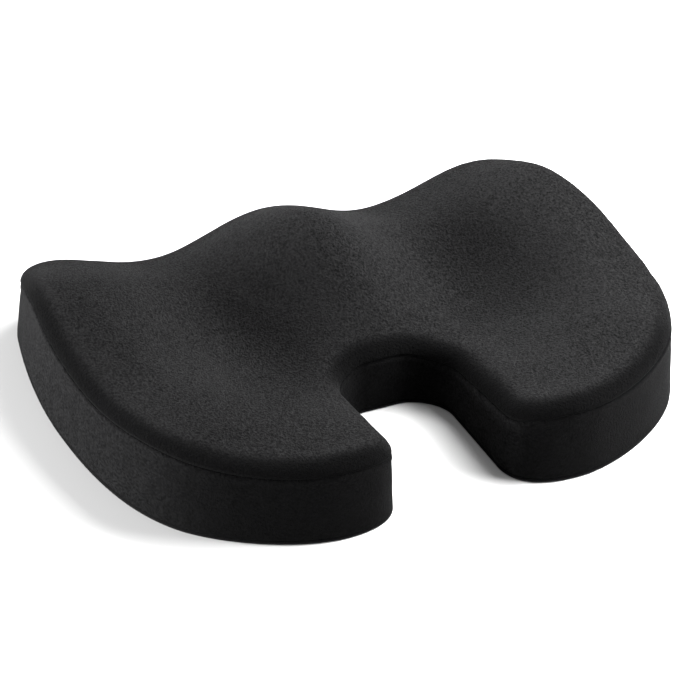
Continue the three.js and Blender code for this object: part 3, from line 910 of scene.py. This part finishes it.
def velour_finish(name, grain, depth, patch, painted_light_side, painted_facing_shade, dark, light, edge):
    """Sizes in mm; the tuple after the painted light side is how far a face turns for the full painted
    shade and light, and the shares of base colour it leaves on the darker and lighter side; edge is the
    base colour's share at the seam, below 1 for painted shade and above 1 for a painted highlight.
    """
    swing, away, toward = painted_facing_shade
    velour = Finish(name, Roughness=0.9, Sheen_Weight=VELOUR_SHEEN, Sheen_Roughness=0.6,
                    Sheen_Tint=(0.8, 0.81, 0.83, 1), Specular_IOR_Level=0.02)
    nap = velour.place(stretch=(1.0, 1.35, 1.0), turn=(0, 0, math.radians(24)))
    tufts = velour.noise(grain, nap, detail=3.0, roughness=0.62)
    pile = velour.noise(grain * 0.42, nap, detail=2.0, roughness=0.6)
    brushed = velour.noise(patch, velour.place(), detail=3.0)
    height = tufts * 0.66 + pile * 0.34
    lit = velour.span(height, 0.4, 0.6) * 0.85 + velour.span(brushed, 0.3, 0.7) * 0.15
    # The seam mask paints shade on the top's rolled edge and a highlight on the band's lip.
    near_seam = velour.node("ShaderNodeAttribute", {"attribute_name": "edge"}, out="Fac")
    # The world normal sets painted shade and light by which way a face turns.
    facing = velour.node("ShaderNodeNewGeometry", out="Normal")
    facing_painted_light = velour.node("ShaderNodeVectorMath", {"operation": "DOT_PRODUCT"},
                            {0: facing, 1: painted_light_side}, out="Value")
    # Painted shade or highlight at the seam, weaker on faces turned the lighter way.
    shaded = near_seam * velour.span(facing_painted_light, -0.25, 0.35, 1.0, 0.35)
    lit = lit * velour.span(shaded, 0, 1, 1.0, edge)
    # Painted shade and light: faces turned one way in the world are painted lighter, faces turned the other
    # way darker.
    lit = lit * velour.span(facing_painted_light, -swing, swing, away, toward)
    velour.feed(Base_Color=velour.shade(lit, dark, light),
                Roughness=velour.span(height, 0.3, 0.7, 0.98, 0.8),
                Normal=velour.bump(height, depth))
    return velour


# Top: painted shade on the rolled edge, down to 6 per cent of the base colour at the seam; faces turned to
# the front and to -X are painted lighter, faces turned to the rear and to +X darker.
dress(velour_finish("brushed_velour", 1.6, 3.2, 70, (-0.55, -0.83, 0), (0.42, 0.5, 1.45),
                    (0.0005, 0.0005, 0.00053), (0.0134, 0.0134, 0.0136), 0.06),
      velour_top)
# Band: a painted highlight up to a fifth brighter just under the seam; faces turned to the front are
# painted lighter, faces turned to the rear darker; its base colour is about half the top's, a darker copy
# of the same velour that paints shade on the upright band.
dress(velour_finish("short_velour", 1.7, 1.5, 14, (0.3, -0.95, 0), (0.5, 0.22, 1.15),
                    (0.0003, 0.0003, 0.00032), (0.0072, 0.0072, 0.0074), 1.2),
      velour_band)
print("velour mixed")

# %% [markdown]
# ## The other cloths
# The base is a plain weave, which two crossed waves give. The liner is a fine knit, the zip's
# tape a rib, and the thread is two plies twisted together, which shows as slanting light.


# %% Mix the cloths
def woven_finish(name, pitch, depth, dark, light):
    woven = Finish(name, Roughness=0.8, Sheen_Weight=0.01, Specular_IOR_Level=0.04)
    where = woven.place()
    yarns = {"Vector": where, "Scale": 0.314 / pitch}
    across = woven.node("ShaderNodeTexWave", {"bands_direction": "X"}, yarns)
    along = woven.node("ShaderNodeTexWave", {"bands_direction": "Y"}, yarns)
    height = across * 0.5 + along * 0.5
    slub = woven.noise(9, where)
    woven.feed(Base_Color=woven.shade(height * 0.7 + slub * 0.3, dark, light),
               Roughness=woven.span(slub, 0.3, 0.7, 0.72, 0.9), Normal=woven.bump(height, depth))
    return woven


def knit_finish():
    knit = Finish("liner_knit", Roughness=0.85, Sheen_Weight=0.2)
    where = knit.place()
    loops = knit.node("ShaderNodeTexVoronoi", {"feature": "F1"},
                      {"Vector": where, "Scale": 0.8}, out="Distance")
    soil = knit.noise(40, where)
    knit.feed(Base_Color=knit.shade(loops * 0.6 + soil * 0.4, (0.74, 0.73, 0.69), (0.6, 0.59, 0.55)),
              Roughness=knit.span(soil, 0.3, 0.7, 0.8, 0.92), Normal=knit.bump(1 - loops, 0.25))
    return knit


def rib_finish():
    rib = Finish("zip_tape_rib", Roughness=0.7, Sheen_Weight=0.01, Specular_IOR_Level=0.05)
    where = rib.place()
    ribs = rib.node("ShaderNodeTexWave", {"bands_direction": "X"}, {"Vector": where, "Scale": 0.45})
    grain = rib.noise(0.5, where)
    tint = rib.shade(ribs * 0.7 + grain * 0.3, (0.001, 0.001, 0.00105), (0.006, 0.006, 0.0062))
    rib.feed(Base_Color=tint, Roughness=rib.span(grain, 0.3, 0.7, 0.6, 0.8),
             Normal=rib.bump(ribs * 0.8 + grain * 0.2, 0.12))
    return rib


def thread_finish():
    yarn = Finish("spun_thread", Roughness=0.7, Specular_IOR_Level=0.03)
    where = yarn.place(turn=(0, 0, math.radians(45)))
    twist = yarn.node("ShaderNodeTexWave", {"bands_direction": "X"},
                      {"Vector": where, "Scale": 0.7, "Distortion": 1.0})
    yarn.feed(Base_Color=yarn.shade(twist, (0.0004, 0.0004, 0.00045), (0.0016, 0.0016, 0.0017)),
              Roughness=yarn.span(twist, 0, 1, 0.8, 0.65), Normal=yarn.bump(twist, 0.08))
    return yarn


pieces = bpy.data.objects
dress(woven_finish("grip_weave", 0.9, 0.18, (0.0012, 0.0012, 0.00125), (0.006, 0.006, 0.0062)),
      grip_base)
dress(knit_finish(), liner_over, liner_under)
dress(rib_finish(), guard, pieces["woven_tape_lower"], pieces["woven_tape_upper"])
dress(thread_finish(), pieces["top_seam_stitches"], pieces["bottom_seam_stitches"])
print("cloths mixed")

# %% [markdown]
# ## Foam, rubber, nylon and metal
# Moulded foam has a matt skin with fine open cells. The dots are a soft rubber with a dull
# shine, the coil is satin nylon, and the castings are black lacquer that has begun to rub
# through on its high spots, so bare metal shows in a few small scuffs.


# %% Mix the hard and spongy finishes
def foam_finish():
    sponge = Finish("moulded_foam", Roughness=0.85, Specular_IOR_Level=0.3)
    where = sponge.place()
    cells = sponge.node("ShaderNodeTexVoronoi", {"feature": "F1"},
                        {"Vector": where, "Scale": 0.55}, out="Distance")
    cloud = sponge.noise(30, where)
    sponge.feed(Base_Color=sponge.shade(cells * 0.5 + cloud * 0.5, (0.8, 0.75, 0.62), (0.66, 0.6, 0.46)),
                Roughness=sponge.span(cloud, 0.3, 0.7, 0.78, 0.92), Normal=sponge.bump(1 - cells, 0.3))
    return sponge


def rubber_finish():
    rubber = Finish("grip_rubber", Roughness=0.55, Specular_IOR_Level=0.15)
    bloom = rubber.noise(14, rubber.place())
    rubber.feed(Base_Color=rubber.shade(bloom, (0.0015, 0.0015, 0.0016), (0.005, 0.005, 0.0052)),
                Roughness=rubber.span(bloom, 0.3, 0.7, 0.45, 0.68),
                Normal=rubber.bump(rubber.noise(0.6, rubber.place()), 0.05))
    return rubber


def nylon_finish():
    nylon = Finish("satin_nylon", Roughness=0.38, Specular_IOR_Level=0.2)
    drawn = nylon.noise(0.8, nylon.place(stretch=(4, 1, 1)))
    nylon.feed(Base_Color=nylon.shade(drawn, (0.0015, 0.0015, 0.0016), (0.005, 0.005, 0.0052)),
               Roughness=nylon.span(drawn, 0.3, 0.7, 0.3, 0.48))
    return nylon


def lacquer_finish():
    lacquer = Finish("black_lacquer", Roughness=0.32, Specular_IOR_Level=0.25)
    where = lacquer.place()
    scuff = lacquer.span(lacquer.noise(1.6, where, detail=4.0, roughness=0.7), 0.62, 0.68)
    orange_peel = lacquer.noise(0.7, where)
    lacquer.feed(Base_Color=lacquer.shade(scuff, (0.003, 0.003, 0.0032), (0.16, 0.155, 0.15)),
                 Metallic=scuff, Roughness=lacquer.span(orange_peel, 0.3, 0.7, 0.26, 0.4) + scuff * 0.15,
                 Normal=lacquer.bump(orange_peel, 0.02))
    return lacquer


dress(foam_finish(), foam)
dress(rubber_finish(), dots)
dress(nylon_finish(), pieces["coil_row_lower"], pieces["coil_row_upper"])
dress(lacquer_finish(), *castings)
print("finishes", len(bpy.data.materials))

# %% [markdown]
# ## Studio
# A black cushion only shows its shape by where light grazes it. The camera stands behind it and
# looks forward and down. From there, a key and a higher softbox on the right light the seat from
# the side and two low strips on the left light the band. Nothing stands by the camera, so the
# walls that face it stay dark, and the velour's base colour paints them darker still. The floor
# is plain and pale.

# %% Floor, lights and camera
FLOOR_HALF = 6000


def stage_floor():
    corners = np.array([(-1, -1, 0), (1, -1, 0), (1, 1, 0), (-1, 1, 0)]) * FLOOR_HALF
    floor = make_piece("floor", corners, [[0, 1, 2, 3]])
    paper = Finish("floor_paper", Roughness=0.9, Specular_IOR_Level=0.1)
    clouds = paper.noise(300, paper.place())
    paper.feed(Base_Color=paper.shade(clouds, (0.62, 0.62, 0.62), (0.66, 0.66, 0.66)))
    dress(paper, floor)


def softbox(name, azimuth, elevation, distance, size, power):
    """An area light that looks at the cushion; azimuth 0 is in front of it, -Y."""
    az, el = math.radians(azimuth), math.radians(elevation)
    lamp = bpy.data.lights.new(name, "AREA")
    lamp.shape, lamp.size, lamp.size_y, lamp.energy = "RECTANGLE", size[0], size[1], power
    light = bpy.data.objects.new(name, lamp)
    light.location = (distance * math.sin(az) * math.cos(el),
                      -distance * math.cos(az) * math.cos(el),
                      distance * math.sin(el))
    light.rotation_euler = (-light.location).to_track_quat("-Z", "Y").to_euler()
    bpy.context.scene.collection.objects.link(light)


stage_floor()
softbox("key", -112, 34, 1.1, (0.8, 0.8), 48)
softbox("overhead", -80, 55, 1.0, (0.8, 0.8), 32)
softbox("left_strip", 66, 6, 2.2, (0.7, 0.36), 165)
softbox("low_left_strip", 98, 7, 2.2, (0.6, 0.36), 105)

world = bpy.data.worlds.new("studio")
world.use_nodes = True
sky = world.node_tree.nodes["Background"].inputs
sky["Color"].default_value = (1, 1, 1, 1)
sky["Strength"].default_value = 0.35
bpy.context.scene.world = world
bpy.context.scene.view_settings.view_transform = "Standard"
bpy.context.scene.view_settings.look = "None"

VIEW_AZIMUTH, VIEW_ELEVATION, VIEW_ROLL = 152.8, 33.95, 2.06
VIEW_DISTANCE = 3.4246
LENS_TO_SENSOR = 6.77543
SENSOR = 36
TARGET = Vector((0, -0.0038, 0.040))


def studio_camera():
    az, el = math.radians(VIEW_AZIMUTH), math.radians(VIEW_ELEVATION)
    back = Vector((math.sin(az) * math.cos(el), -math.cos(az) * math.cos(el), math.sin(el)))
    data = bpy.data.cameras.new("camera")
    data.sensor_width, data.lens = SENSOR, LENS_TO_SENSOR * SENSOR
    data.shift_x, data.shift_y = -0.0045, -0.0308
    camera = bpy.data.objects.new("camera", data)
    level = back.to_track_quat("Z", "Y").to_matrix().to_4x4()
    camera.matrix_world = Matrix.Translation(TARGET + back * VIEW_DISTANCE) @ level @ Matrix.Rotation(
        math.radians(VIEW_ROLL), 4, "Z")
    bpy.context.scene.collection.objects.link(camera)
    bpy.context.scene.camera = camera


studio_camera()
print("lights", len(bpy.data.lights))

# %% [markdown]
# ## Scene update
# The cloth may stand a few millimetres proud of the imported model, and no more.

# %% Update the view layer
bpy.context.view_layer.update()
